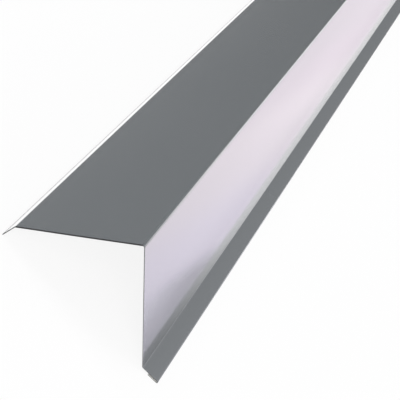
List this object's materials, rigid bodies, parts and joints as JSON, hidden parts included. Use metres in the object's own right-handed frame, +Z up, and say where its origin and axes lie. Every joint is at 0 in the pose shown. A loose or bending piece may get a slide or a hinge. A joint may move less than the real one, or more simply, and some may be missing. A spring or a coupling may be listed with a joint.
{
  "type": "verge flashing",
  "caption": "Folded sheet-metal verge flashing: level flange with a stiffening lip, square face and a kicked-out drip lip with an open hem.",
  "frame": {"origin": "on the floor, at the centre of the part's footprint, with the part lying ridge up on its lip edge and its hem", "axes": "+Y along the flashing, +Z up, +X towards the drip edge"},
  "size_m": [0.1584, 2, 0.0761],
  "materials": {
    "coated_sheet": "glossy"
  },
  "bodies": {
    "root": {"verge_flashing": "coated_sheet"}
  },
  "joints": []
}
